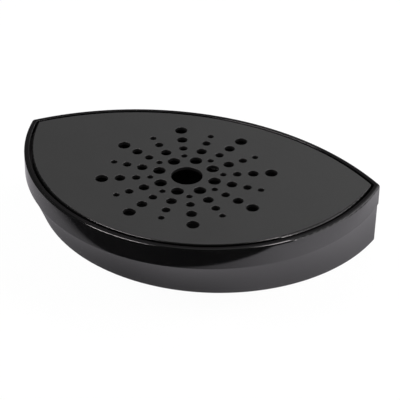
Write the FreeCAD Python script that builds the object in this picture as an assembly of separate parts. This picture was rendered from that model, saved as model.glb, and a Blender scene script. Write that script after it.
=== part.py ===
import FreeCAD, Part
import math
import os

# Countertop drip tray for a drink dispenser, in millimetres. A base housing on four
# rubber feet carries a lift-out drip pan, and a perforated splash plate lies in the
# pan's rim. Seen from above the tray has two pointed ends, a deep front and a flat back.
# +Z is up, +X runs along the tray to the right tip and -Y is the front.
# The origin is the middle of the tray's outline, on the counter.

Vector = FreeCAD.Vector

# Outline of the rim: a deep front arc and a flat back arc that meet in two tips
tray_width = 304.8
tray_depth = 198.4
tip_setback = 40.8            # how far the tips lie behind the middle of the depth
tip_radius = 2.6

# Heights
foot_stand = 1.0              # the rubber feet hold the base this far off the counter
tray_height = 63.0            # counter to the top of the splash plate
plate_proud = 0.5             # the splash plate stands above the rim by this much
band_height = 18.5            # vertical outer band of the pan, down to the base

# Base housing
base_sweep = 27.5             # its front arc moves back by this much from top to bottom
base_tip_half_width = 149.6
base_tip_setback = 49.8
base_back_draft = 0.7
base_step = 0.7               # the base starts this far inside the pan's outer band
base_wall = 3.8
base_floor = 3.0
base_round = 1.5
lip_height = 7.5              # upstand that centres the pan on the base
lip_clearance = 0.4           # between the lip and the pan's outer band

# Drip pan
rim_width = 4.4
band_thickness = 2.5
seat_width = 4.2              # ledge that the splash plate rests on
seat_thickness = 2.6
basin_wall = 2.4
basin_floor_z = 10.0          # underside of the basin
basin_draft = 0.7
basin_round = 3.0
mouth_tip_radius = 1.6
basin_tip_radius = 6.0
rim_outer_round = 2.0
rim_inner_round = 0.6
band_edge_round = 0.3
post_diameter = 9.0
post_bore = 5.0
post_places = ((75, 45), (-75, 45), (75, -45), (-75, -45))

# Splash plate
plate_gap = 2.0               # between the rim and the plate's edge
plate_thickness = 3.0
plate_skirt_depth = 8.0       # overall depth of the skirt and of the ribs under the plate
plate_skirt_width = 2.0
plate_round = 1.3
plate_tip_radius = 1.5
plate_ring_radius = 79.0
plate_rib_width = 2.0
plate_rib_angles = (0, 60, 120, 180, 240, 300)

# Drain holes: sixteen rays round a finger hole, four holes to a ray
finger_hole = 26.0
ray_count = 16
hole_sizes = (10.5, 8.8, 7.1, 5.4)
hole_web = 5.2                # solid width between two holes of a ray
shrinking_ray_start = 23.75   # radius of the first hole on rays with the large hole inside
growing_ray_start = 29.9      # radius of the first hole on rays with the small hole inside
hole_edge_break = 0.15
pattern_setback = 0.7         # the finger hole lies this far behind the middle of the depth

# Rubber feet
foot_diameter = 12.0
foot_pocket_depth = 1.5
foot_pocket_clearance = 0.25
foot_edge_round = 0.4
foot_places = {
    "foot_front_left": (-45.0, -52.0),
    "foot_front_right": (45.0, -52.0),
    "foot_back_left": (-100.0, 58.0),
    "foot_back_right": (100.0, 58.0),
}

# Worked out from the driving dimensions
half_width = tray_width / 2
half_depth = tray_depth / 2
rim_z = tray_height - plate_proud
band_z = rim_z - band_height
seat_z = tray_height - plate_skirt_depth
plate_underside_z = tray_height - plate_thickness
plate_inset = rim_width + plate_gap
basin_inset = rim_width + seat_width
overcut = 1.0                 # how far a cutting shape runs past a face


def arc_radius(half_chord, sagitta):
    return (half_chord ** 2 + sagitta ** 2) / (2 * sagitta)


class Lens:
    """An outline of two arcs, front and back, with rounded tips."""

    def __init__(self, front_y, front_r, back_y, back_r, tip_r):
        self.front_y = front_y
        self.front_r = front_r
        self.back_y = back_y
        self.back_r = back_r
        self.tip_r = tip_r

    def inset(self, distance, tip_r):
        return Lens(self.front_y, self.front_r - distance,
                    self.back_y, self.back_r - distance, tip_r)

    def swept_back(self, distance):
        """The same outline with only its front arc moved back."""
        return Lens(self.front_y + distance, self.front_r, self.back_y, self.back_r, self.tip_r)

    def tip_centre(self):
        """Centre of the right tip's rounding, tangent to both arcs."""
        front = self.front_r - self.tip_r
        back = self.back_r - self.tip_r
        gap = self.front_y - self.back_y
        above_back = (back ** 2 - front ** 2 + gap ** 2) / (2 * gap)
        return math.sqrt(back ** 2 - above_back ** 2), self.back_y + above_back

    def wire(self, z):
        x, y = self.tip_centre()
        to_front = Vector(x, y - self.front_y, 0).normalize()
        to_back = Vector(x, y - self.back_y, 0).normalize()
        middle = (to_front + to_back).normalize()
        centre = Vector(x, y, z)
        right = [centre + to_front * self.tip_r,
                 centre + middle * self.tip_r,
                 centre + to_back * self.tip_r]
        left = [Vector(-p.x, p.y, p.z) for p in right]
        front = Vector(0, self.front_y - self.front_r, z)
        back = Vector(0, self.back_y + self.back_r, z)
        arcs = [Part.Arc(left[0], front, right[0]),
                Part.Arc(*right),
                Part.Arc(right[2], back, left[2]),
                Part.Arc(*reversed(left))]
        return Part.Wire([arc.toShape() for arc in arcs])

    def prism(self, low, high):
        return Part.Face(self.wire(low)).extrude(Vector(0, 0, high - low))


def loft(lower, low, upper, high):
    return Part.makeLoft([lower.wire(low), upper.wire(high)], True, True)


def edges_at(shape, z):
    """Edges that lie wholly in the plane at height z."""
    found = []
    for edge in shape.Edges:
        box = edge.BoundBox
        if abs(box.ZMin - z) < 1e-4 and abs(box.ZMax - z) < 1e-4:
            found.append(edge)
    return found


def cylinder(diameter, low, high, x=0.0, y=0.0):
    return Part.makeCylinder(diameter / 2, high - low, Vector(x, y, low))


def rim_lens():
    front = arc_radius(half_width, half_depth + tip_setback)
    back = arc_radius(half_width, half_depth - tip_setback)
    return Lens(front - half_depth, front, half_depth - back, back, tip_radius)


def base_lens():
    """Outline at the foot of the base: the rim's front arc swept back, and its own back arc."""
    back_reach = half_depth - base_back_draft
    back = arc_radius(base_tip_half_width, back_reach - base_tip_setback)
    return Lens(rim.front_y + base_sweep, rim.front_r, back_reach - back, back, tip_radius)


rim = rim_lens()


def make_base():
    foot = base_lens()
    outside = loft(foot, foot_stand, rim.inset(base_step, tip_radius), band_z)
    outside = outside.makeFillet(base_round, edges_at(outside, foot_stand))
    lip_outer = rim.inset(band_thickness + lip_clearance, mouth_tip_radius)
    base = outside.fuse(lip_outer.prism(band_z, band_z + lip_height))
    inner = rim.inset(base_step + base_wall, mouth_tip_radius)
    hollow_low = foot_stand + base_floor
    hollow = loft(foot.inset(base_wall, mouth_tip_radius), hollow_low, inner, band_z)
    hollow = hollow.fuse(inner.prism(band_z, band_z + lip_height + overcut))
    base = base.cut(hollow)
    pocket = foot_diameter + 2 * foot_pocket_clearance
    for x, y in foot_places.values():
        base = base.cut(cylinder(pocket, 0, foot_stand + foot_pocket_depth, x, y))
    return base.removeSplitter()


def basin(inset, floor_z, top_z):
    """Solid of the basin's outside or inside, straight at the top and leaning in below."""
    top = rim.inset(inset, basin_tip_radius)
    sweep = base_sweep * (band_z - floor_z) / (band_z - foot_stand)
    bottom = rim.inset(inset + basin_draft, basin_tip_radius).swept_back(sweep)
    return loft(bottom, floor_z, top, band_z), top.prism(band_z, top_z)


def rounded_basin(inset, floor_z, top_z, radius):
    low, high = basin(inset, floor_z, top_z)
    return low.makeFillet(radius, edges_at(low, floor_z)).fuse(high)


def round_mouth(pan):
    """Soften the inner edge of the rim."""
    limit = half_width - (rim_outer_round + rim_width) / 2
    mouth_edges = [edge for edge in edges_at(pan, rim_z) if edge.BoundBox.XMax < limit
                   and edge.BoundBox.XMin > -limit]
    return pan.makeFillet(rim_inner_round, mouth_edges)


def make_pan():
    band = rim.prism(band_z, rim_z)
    band = band.makeFillet(rim_outer_round, edges_at(band, rim_z))
    band = band.makeFillet(band_edge_round, edges_at(band, band_z))
    seat_low = seat_z - seat_thickness
    band = band.cut(rim.inset(band_thickness, mouth_tip_radius).prism(band_z - overcut, seat_low))
    band = band.cut(rim.inset(rim_width, mouth_tip_radius).prism(seat_z, rim_z + overcut))
    pan = round_mouth(band)
    outer_inset = basin_inset - basin_wall
    basin_inner_z = basin_floor_z + basin_wall
    pan = pan.fuse(rounded_basin(outer_inset, basin_floor_z, seat_z, basin_round + basin_wall))
    pan = pan.cut(rounded_basin(basin_inset, basin_inner_z, seat_z + overcut, basin_round))
    for x, y in post_places:
        pan = pan.fuse(cylinder(post_diameter, basin_floor_z + 1, plate_underside_z, x, y))
        pan = pan.cut(cylinder(post_bore, basin_inner_z, plate_underside_z + overcut, x, y))
    return pan.removeSplitter()


def hole_places():
    """Centre and diameter of each drain hole."""
    places = []
    for ray in range(ray_count):
        shrinking = ray % 2 == 0
        sizes = hole_sizes if shrinking else hole_sizes[::-1]
        radius = shrinking_ray_start if shrinking else growing_ray_start
        angle = 2 * math.pi * ray / ray_count
        for i, size in enumerate(sizes):
            if i > 0:
                radius += (sizes[i - 1] + size) / 2 + hole_web
            places.append((radius * math.cos(angle), pattern_setback + radius * math.sin(angle), size))
    return places


def hole_cutter(x, y, size):
    through = cylinder(size, seat_z - overcut, tray_height + overcut, x, y)
    edge_break = Part.makeCone(size / 2, size / 2 + 2 * hole_edge_break, 2 * hole_edge_break,
                               Vector(x, y, tray_height - hole_edge_break))
    return through.fuse(edge_break)


def plate_ribs(outline):
    """Ring and spokes that stiffen the underside."""
    ring = cylinder(2 * plate_ring_radius + plate_rib_width, seat_z, plate_underside_z, 0, pattern_setback)
    ring = ring.cut(cylinder(2 * plate_ring_radius - plate_rib_width,
                             seat_z - overcut, plate_underside_z + overcut, 0, pattern_setback))
    pieces = [ring]
    for angle in plate_rib_angles:
        spoke = Part.makeBox(half_width, plate_rib_width, plate_underside_z - seat_z,
                             Vector(plate_ring_radius, pattern_setback - plate_rib_width / 2, seat_z))
        spoke.rotate(Vector(0, pattern_setback, 0), Vector(0, 0, 1), angle)
        pieces.append(spoke.common(outline.prism(seat_z, plate_underside_z)))
    return pieces


def make_plate():
    outline = rim.inset(plate_inset, plate_tip_radius)
    plate = outline.prism(seat_z, tray_height)
    plate = plate.makeFillet(plate_round, edges_at(plate, tray_height))
    hollow = rim.inset(plate_inset + plate_skirt_width, plate_tip_radius)
    plate = plate.cut(hollow.prism(seat_z - overcut, plate_underside_z))
    plate = plate.fuse(plate_ribs(outline))
    cutters = [hole_cutter(x, y, size) for x, y, size in hole_places()]
    cutters.append(hole_cutter(0, pattern_setback, finger_hole))
    return plate.cut(cutters).removeSplitter()


def make_foot(x, y):
    foot = cylinder(foot_diameter, 0, foot_stand + foot_pocket_depth, x, y)
    return foot.makeFillet(foot_edge_round, edges_at(foot, 0))


def main():
    nodes = {"base_housing": make_base(), "drip_pan": make_pan(), "splash_plate": make_plate()}
    for name, (x, y) in foot_places.items():
        nodes[name] = make_foot(x, y)
    os.makedirs("parts", exist_ok=True)
    for name, shape in nodes.items():
        print(name, "solids", len(shape.Solids), "valid", shape.isValid(), "volume", round(shape.Volume))
        shape.Solids[0].exportStep("parts/" + name + ".step")


main()
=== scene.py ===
import math

import bpy
from mathutils import Matrix, Vector


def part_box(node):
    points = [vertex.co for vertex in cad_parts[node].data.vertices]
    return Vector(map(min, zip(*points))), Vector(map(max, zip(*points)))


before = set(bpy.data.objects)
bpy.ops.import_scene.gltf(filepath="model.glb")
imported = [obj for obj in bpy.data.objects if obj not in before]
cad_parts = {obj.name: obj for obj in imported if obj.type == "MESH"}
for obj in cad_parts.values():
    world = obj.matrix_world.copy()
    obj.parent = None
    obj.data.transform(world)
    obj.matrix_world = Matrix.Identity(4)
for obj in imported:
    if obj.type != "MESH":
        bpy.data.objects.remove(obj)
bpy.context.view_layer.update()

# A countertop drip tray in a white studio, in metres. The CAD meshes are shown as they are, with
# procedural materials. Gloss and matt surfaces have lights of their own.

plate_low, plate_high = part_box("splash_plate")
pan_low, pan_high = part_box("drip_pan")

FRONT_ARC_RADIUS = 0.153      # the band's front arc, seen from above
BASE_SWEEP = 0.0275           # the foot of the front wall is the same arc, this far back
BAND_HEIGHT = 0.0185          # the pan's outer band, down from the rim
front_arc_centre = Vector((0.0, pan_low.y + FRONT_ARC_RADIUS, 0.0))
foot_arc_centre = front_arc_centre + Vector((0.0, BASE_SWEEP, 0.0))
plate_middle = Vector(((plate_low.x + plate_high.x) / 2, 0.0, plate_high.z))

# Camera
VIEW_AZIMUTH = 17.75
VIEW_ELEVATION = 34.42
VIEW_ROLL = 0.79
VIEW_DISTANCE = 1.4393
LENS_MM = 161.94
SENSOR_MM = 36.0
CLIP_END = 20.0
AIM_OFFSET = Vector((0.0212, -0.0292, 0.0))   # from the middle of the splash plate's top

# Directions in the studio are (azimuth, elevation) in degrees as seen from the tray:
# azimuth 0 is in front of it, 90 on its right.
WHITE = (1.0, 1.0, 1.0)
SOFT_LIGHT = (0.16, 0.16, 0.16)   # even light from all around, for matt surfaces
ROOM = (0.10, 0.10, 0.10)         # the dark room that glossy surfaces mirror
# Patches of another radiance in that room: azimuth, elevation, inner and outer angle, radiance
PATCHES = (
    (0.0, 50.0, 40.0, 75.0, (0.042, 0.042, 0.042)),
    (118.0, 10.0, 30.0, 56.0, (1.9, 1.84, 1.9)),
    (150.0, 60.0, 10.0, 50.0, (0.45, 0.45, 0.45)),
    (165.0, 8.0, 12.0, 30.0, (0.25, 0.25, 0.25)),
    (197.75, 34.0, 9.0, 18.0, (0.115, 0.105, 0.11)),
)
# Lights: name, azimuth, elevation, distance, (width, height), radiance, the surfaces that see it
LIGHTS = (
    ("softbox_left", -43.5, 47.0, 1.5, (0.88, 0.38), 15.0, "gloss"),
    ("softbox_right", 75.0, 47.0, 1.1, (0.44, 0.46), 10.5, "gloss"),
    ("side_light_left", -74.0, 38.0, 1.0, (0.45, 0.45), 13.0, "matt"),
    ("side_light_right", 108.0, 38.0, 1.0, (0.45, 0.45), 15.0, "matt"),
    ("back_light", 165.0, 52.0, 0.55, (0.30, 0.30), 6.0, "matt"),
)
LIGHT_TINTS = {"gloss": (1.0, 0.93, 0.95), "matt": WHITE}

FLOOR_REACH = 6.0
FLOOR_ROUGHNESS = 0.9
FLOOR_WHITE = (0.92, 0.92, 0.92)
FLOOR_GLOW = 0.97             # the share of plain white in what the camera sees of the floor

# The lit floor as glossy surfaces mirror it: a light card round the tray, dark past its round
# edge. A level is a radiance, and its steps are (azimuth from, azimuth to, change of level).
CARD_HEIGHT = 0.0006
CARD_REACH = 1.4
CARD_TINT = (1.0, 0.965, 1.025)
CLOSE_LEVEL = 0.64            # next to the foot of the front wall
CLOSE_STEPS = ((-150.0, -100.0, -0.14), (-75.0, -50.0, -0.11), (-20.0, 20.0, 0.30),
               (40.0, 70.0, 0.10), (75.0, 100.0, -0.15))
WIDE_LEVEL = 0.95             # further out
WIDE_STEPS = ((-150.0, -100.0, -0.52), (-90.0, -40.0, 0.20), (10.0, 55.0, 0.87),
              (58.0, 100.0, -0.55))
CONTACT_LEVEL = 0.36          # the contact shadow, as a share of the close level
CONTACT_STEPS = ((10.0, 45.0, 0.29),)
CONTACT_WIDTH = 0.030
OUTWARD_FROM, OUTWARD_TO = 0.024, 0.052       # from the foot, where close turns to wide
EDGE_CENTRE = Vector((0.0104, 0.1076, 0.0))   # of the round edge
EDGE_RADIUS = (-30.0, 20.0, 0.2595, 0.2655)   # azimuth from, azimuth to, radius from, radius to
EDGE_SOFTNESS_LEFT = (-60.0, -22.0, 0.016, 0.0018)    # the same for the edge's half width,
EDGE_SOFTNESS_RIGHT = (45.0, 60.0, 0.0, 0.020)        # which is the sum of these two
DARK_LEVEL = 0.045            # past the edge
BEHIND_LEVEL = 0.55           # behind the tray, where the card has no edge
BEHIND_FROM, BEHIND_TO = 102.0, 125.0

# Materials. A colour is a pair of shades that a noise mixes, and a roughness is a lowest and a
# highest value that a noise runs between. A noise is its scale, detail and roughness.
PLASTIC_IOR = 1.5
NOISE_LOW, NOISE_HIGH = 0.3, 0.7              # most of a noise lies between these

GLOSS_BLACK = ((0.0022, 0.0022, 0.0023), (0.0036, 0.0035, 0.0037))
GLOSS_TINT = (35.0, 3.0, 0.5)
GLOSS_HAZE = (60.0, 4.0, 0.6)
GLOSS_ROUGHNESS = (0.035, 0.060)
RIM_FROM, RIM_TO = 0.0025, 0.0019             # below the pan's top, where the rim's finish starts
RIM_ADDED_ROUGHNESS = 0.05                    # the rim is a little less polished than the walls
MATT_FADE = 0.004
MATT_ADDED_ROUGHNESS = 0.35

SATIN_BLACK = ((0.0208, 0.0210, 0.0209), (0.0244, 0.0246, 0.0245))
SATIN_TINT = (25.0, 3.0, 0.5)
# the plate's surfaces that don't face up: this darker black is painted shade in the holes
SHADED_SMOOTH_BLACK = (0.003, 0.003, 0.003)
GRAIN = (1800.0, 2.0, 0.6)
GRAIN_ROUGHNESS = (0.42, 0.52)
GRAIN_HEIGHT = 0.0002
GRAIN_STRENGTH = 0.15
FLAT_FROM, FLAT_TO = 0.93, 0.99               # the normal's Z, from a rounded edge to the flat top
HOLES_FROM, HOLES_TO = 0.082, 0.086           # from the middle, past the outermost holes
HOLE_WALL_ROUGHNESS, PLATE_EDGE_ROUGHNESS = 0.50, 0.20
PAINTED_LIT_FROM, PAINTED_LIT_TO = 0.0010, 0.0005           # below the plate's top: the walls of the holes are painted lit above this and painted shaded below it

RUBBER_BLACK = ((0.012, 0.012, 0.012), (0.022, 0.022, 0.022))
RUBBER_TINT = (300.0, 3.0, 0.5)
RUBBER_ROUGHNESS = (0.75, 0.9)


class Nodes:
    """Short calls for building one node tree."""

    def __init__(self, tree):
        self.tree = tree

    def add(self, kind, **inputs):
        node = self.tree.nodes.new(kind)
        for name, value in inputs.items():
            self.put(node, name, value)
        return node

    def put(self, node, name, value):
        socket = node.inputs[int(name) if name.isdigit() else name]
        if isinstance(value, bpy.types.NodeSocket):
            self.tree.links.new(value, socket)
        else:
            socket.default_value = value

    def math(self, operation, a, b=0.0):
        node = self.tree.nodes.new("ShaderNodeMath")
        node.operation = operation
        self.put(node, "0", a)
        self.put(node, "1", b)
        return node.outputs[0]

    def vector(self, operation, a, b=(0, 0, 0), output="Vector"):
        node = self.tree.nodes.new("ShaderNodeVectorMath")
        node.operation = operation
        self.put(node, "0", a)
        self.put(node, "1", b)
        return node.outputs[output]

    def smooth(self, value, low, high, to_low=0.0, to_high=1.0):
        node = self.tree.nodes.new("ShaderNodeMapRange")
        node.interpolation_type = "SMOOTHSTEP"
        for name, number in (("Value", value), ("From Min", low), ("From Max", high),
                             ("To Min", to_low), ("To Max", to_high)):
            self.put(node, name, number)
        return node.outputs["Result"]

    def mix(self, factor, a, b):
        """Mixes two colours."""
        node = self.tree.nodes.new("ShaderNodeMix")
        node.data_type = "RGBA"
        self.put(node, "0", factor)
        self.put(node, "6", a)
        self.put(node, "7", b)
        return node.outputs[2]

    def blend(self, factor, a, b):
        """Mixes two numbers."""
        kept = self.math("MULTIPLY", a, self.math("SUBTRACT", 1.0, factor))
        return self.math("ADD", kept, self.math("MULTIPLY", b, factor))

    def noise(self, place, scale, detail, roughness):
        node = self.tree.nodes.new("ShaderNodeTexNoise")
        for name, value in (("Vector", place), ("Scale", scale), ("Detail", detail),
                            ("Roughness", roughness)):
            self.put(node, name, value)
        return node.outputs[0]

    def place(self):
        return self.add("ShaderNodeTexCoord").outputs["Object"]

    def split(self, vector):
        return self.add("ShaderNodeSeparateXYZ", Vector=vector).outputs

    def surface(self, shader):
        self.put(self.tree.nodes["Material Output"], "Surface", shader)


def rgba(colour):
    return (*colour, 1.0)


def direction(azimuth, elevation):
    a, e = math.radians(azimuth), math.radians(elevation)
    return Vector((math.sin(a) * math.cos(e), -math.cos(a) * math.cos(e), math.sin(e)))


def facing(back):
    """The turn that points a camera or a light, which look along -Z, against back."""
    return back.to_track_quat("Z", "Y").to_matrix().to_4x4()


def link(name, data):
    obj = bpy.data.objects.new(name, data)
    bpy.context.scene.collection.objects.link(obj)
    return obj


def make_camera():
    data = bpy.data.cameras.new("camera")
    data.lens = LENS_MM
    data.sensor_width = SENSOR_MM
    data.clip_end = CLIP_END
    camera = link("camera", data)
    back = direction(VIEW_AZIMUTH, VIEW_ELEVATION)
    stand = Matrix.Translation(plate_middle + AIM_OFFSET + back * VIEW_DISTANCE)
    roll = Matrix.Rotation(math.radians(VIEW_ROLL), 4, "Z")
    camera.matrix_world = stand @ facing(back) @ roll
    bpy.context.scene.camera = camera


def new_material(name):
    material = bpy.data.materials.new(name)
    material.use_nodes = True
    return material, Nodes(material.node_tree), material.node_tree.nodes["Principled BSDF"]


def gloss_plastic(name, matt_below=None):
    """Polished black moulded plastic, matt below a height if one is given."""
    material, nodes, shader = new_material(name)
    place = nodes.place()
    height = nodes.split(place)["Z"]
    shade = nodes.mix(nodes.noise(place, *GLOSS_TINT), *map(rgba, GLOSS_BLACK))
    nodes.put(shader, "Base Color", shade)
    haze = nodes.noise(place, *GLOSS_HAZE)
    polish = nodes.smooth(haze, NOISE_LOW, NOISE_HIGH, *GLOSS_ROUGHNESS)
    rim = nodes.smooth(height, pan_high.z - RIM_FROM, pan_high.z - RIM_TO, 0.0, RIM_ADDED_ROUGHNESS)
    roughness = nodes.math("ADD", polish, rim)
    if matt_below is not None:
        matt = nodes.smooth(height, matt_below - MATT_FADE, matt_below, MATT_ADDED_ROUGHNESS, 0.0)
        roughness = nodes.math("ADD", roughness, matt)
    nodes.put(shader, "Roughness", roughness)
    nodes.put(shader, "IOR", PLASTIC_IOR)
    return material


def satin_plastic(name):
    """Black plastic: a fine mould grain on the flat top, smooth in the holes and round the edges,
    which are painted a darker black as shade.
    """
    material, nodes, shader = new_material(name)
    place = nodes.place()
    height = nodes.split(place)["Z"]
    from_middle = nodes.vector("LENGTH", nodes.vector("MULTIPLY", place, (1, 1, 0)), output="Value")
    facing_up = nodes.split(nodes.add("ShaderNodeNewGeometry").outputs["Normal"])["Z"]
    grained_unshaded_top = nodes.smooth(facing_up, FLAT_FROM, FLAT_TO)
    shade = nodes.mix(nodes.noise(place, *SATIN_TINT), *map(rgba, SATIN_BLACK))
    near_holes = nodes.smooth(from_middle, HOLES_FROM, HOLES_TO, 1.0, 0.0)
    painted_lit_rim = nodes.smooth(height, plate_high.z - PAINTED_LIT_FROM, plate_high.z - PAINTED_LIT_TO)
    top_or_painted_lit = nodes.math("MAXIMUM", grained_unshaded_top, nodes.math("MULTIPLY", near_holes, painted_lit_rim))
    # The flat top and a painted lit band at the top of each hole's wall take the paler black; the
    # rest is painted darker as shade.
    nodes.put(shader, "Base Color", nodes.mix(top_or_painted_lit, rgba(SHADED_SMOOTH_BLACK), shade))
    grain = nodes.noise(place, *GRAIN)
    top_roughness = nodes.smooth(grain, NOISE_LOW, NOISE_HIGH, *GRAIN_ROUGHNESS)
    smooth_roughness = nodes.smooth(from_middle, HOLES_FROM, HOLES_TO,
                                    HOLE_WALL_ROUGHNESS, PLATE_EDGE_ROUGHNESS)
    nodes.put(shader, "Roughness", nodes.blend(grained_unshaded_top, smooth_roughness, top_roughness))
    strength = nodes.math("MULTIPLY", grained_unshaded_top, GRAIN_STRENGTH)
    bump = nodes.add("ShaderNodeBump", Height=grain, Strength=strength, Distance=GRAIN_HEIGHT)
    nodes.put(shader, "Normal", bump.outputs[0])
    nodes.put(shader, "IOR", PLASTIC_IOR)
    return material


def foot_rubber(name):
    material, nodes, shader = new_material(name)
    tint = nodes.noise(nodes.place(), *RUBBER_TINT)
    nodes.put(shader, "Base Color", nodes.mix(tint, *map(rgba, RUBBER_BLACK)))
    nodes.put(shader, "Roughness", nodes.smooth(tint, NOISE_LOW, NOISE_HIGH, *RUBBER_ROUGHNESS))
    return material


def finish_node(node, material):
    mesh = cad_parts[node].data
    mesh.materials.clear()
    mesh.materials.append(material)


def make_square(name, reach, height, material):
    """A level square round the tray, which isn't part of the object."""
    mesh = bpy.data.meshes.new(name)
    corners = [(x * reach, y * reach, height) for x, y in ((-1, -1), (1, -1), (1, 1), (-1, 1))]
    mesh.from_pydata(corners, [], [(0, 1, 2, 3)])
    mesh.materials.append(material)
    return link(name, mesh)


def floor_white():
    """White, and plain white to the camera."""
    material, nodes, shader = new_material("floor_white")
    nodes.put(shader, "Base Color", rgba(FLOOR_WHITE))
    nodes.put(shader, "Roughness", FLOOR_ROUGHNESS)
    nodes.put(shader, "Specular IOR Level", 0.0)
    glow = nodes.add("ShaderNodeEmission").outputs[0]
    camera_ray = nodes.add("ShaderNodeLightPath").outputs["Is Camera Ray"]
    blend = nodes.add("ShaderNodeMixShader")
    share = nodes.math("MULTIPLY", camera_ray, FLOOR_GLOW)
    for index, value in enumerate((share, shader.outputs[0], glow)):
        nodes.put(blend, str(index), value)
    nodes.surface(blend.outputs[0])
    return material


def card_light():
    """The light of the floor card, by place and by azimuth round the front arc's centre."""
    material, nodes, shader = new_material("floor_card")
    nodes.tree.nodes.remove(shader)
    place = nodes.place()
    from_centre = nodes.split(nodes.vector("SUBTRACT", place, tuple(front_arc_centre)))
    forward = nodes.math("MULTIPLY", from_centre["Y"], -1.0)
    azimuth = nodes.math("DEGREES", nodes.math("ARCTAN2", from_centre["X"], forward))

    def by_azimuth(level, steps):
        for low, high, change in steps:
            level = nodes.math("ADD", level, nodes.smooth(azimuth, low, high, 0.0, change))
        return level

    def distance_past(centre, radius):
        return nodes.math("SUBTRACT", nodes.vector("DISTANCE", place, tuple(centre), "Value"), radius)

    from_foot = distance_past(foot_arc_centre, FRONT_ARC_RADIUS)
    contact = by_azimuth(CONTACT_LEVEL, CONTACT_STEPS)
    shadow = nodes.smooth(from_foot, 0.0, CONTACT_WIDTH, contact, 1.0)
    close = nodes.math("MULTIPLY", by_azimuth(CLOSE_LEVEL, CLOSE_STEPS), shadow)
    wide = by_azimuth(WIDE_LEVEL, WIDE_STEPS)
    level = nodes.blend(nodes.smooth(from_foot, OUTWARD_FROM, OUTWARD_TO), close, wide)

    radius = nodes.smooth(azimuth, *EDGE_RADIUS)
    softness = nodes.math("ADD", nodes.smooth(azimuth, *EDGE_SOFTNESS_LEFT),
                          nodes.smooth(azimuth, *EDGE_SOFTNESS_RIGHT))
    across_edge = nodes.math("DIVIDE", distance_past(EDGE_CENTRE, radius), softness)
    level = nodes.math("MULTIPLY", level, nodes.smooth(across_edge, -1.0, 1.0, 1.0, 0.0))
    level = nodes.math("MAXIMUM", level, DARK_LEVEL)

    behind = nodes.smooth(nodes.math("ABSOLUTE", azimuth), BEHIND_FROM, BEHIND_TO)
    level = nodes.blend(behind, level, BEHIND_LEVEL)
    light = nodes.add("ShaderNodeEmission", Color=rgba(CARD_TINT), Strength=level)
    nodes.surface(light.outputs[0])
    return material


def make_floor():
    floor = make_square("floor", FLOOR_REACH, 0.0, floor_white())


def make_card():
    """Only reflections see the card."""
    card = make_square("floor_card", CARD_REACH, CARD_HEIGHT, card_light())
    card.visible_camera = False
    card.visible_diffuse = False
    card.visible_shadow = False


def make_lights():
    for name, azimuth, elevation, distance, size, radiance, seen_by in LIGHTS:
        data = bpy.data.lights.new(name, "AREA")
        data.shape = "RECTANGLE"
        data.size, data.size_y = size
        data.energy = radiance * math.pi * size[0] * size[1]
        data.color = LIGHT_TINTS[seen_by]
        light = link(name, data)
        light.visible_glossy = seen_by == "gloss"
        light.visible_diffuse = seen_by == "matt"
        back = direction(azimuth, elevation)
        light.matrix_world = Matrix.Translation(back * distance) @ facing(back)


def make_world():
    """Matt surfaces get an even light, glossy ones mirror the room, and the camera sees white."""
    world = bpy.data.worlds.new("studio")
    world.use_nodes = True
    nodes = Nodes(world.node_tree)
    toward = nodes.add("ShaderNodeTexCoord").outputs["Generated"]
    room = rgba(ROOM)
    for azimuth, elevation, inner, outer, light in PATCHES:
        across = nodes.vector("DOT_PRODUCT", toward, tuple(direction(azimuth, elevation)), "Value")
        factor = nodes.smooth(across, math.cos(math.radians(outer)), math.cos(math.radians(inner)))
        room = nodes.mix(factor, room, rgba(light))
    ray = nodes.add("ShaderNodeLightPath").outputs
    lighting = nodes.mix(ray["Is Glossy Ray"], rgba(SOFT_LIGHT), room)
    background = world.node_tree.nodes["Background"]
    nodes.put(background, "Color", nodes.mix(ray["Is Camera Ray"], lighting, rgba(WHITE)))
    nodes.put(background, "Strength", 1.0)
    bpy.context.scene.world = world


make_camera()
make_floor()
make_card()
make_lights()
make_world()
bpy.context.scene.view_settings.view_transform = "Standard"

finish_node("base_housing", gloss_plastic("gloss_black_plastic"))
pan_plastic = gloss_plastic("gloss_black_plastic_matt_basin", pan_high.z - BAND_HEIGHT)
finish_node("drip_pan", pan_plastic)
finish_node("splash_plate", satin_plastic("satin_black_plastic"))
rubber = foot_rubber("foot_rubber_black")
for foot in ("foot_front_left", "foot_front_right", "foot_back_left", "foot_back_right"):
    finish_node(foot, rubber)
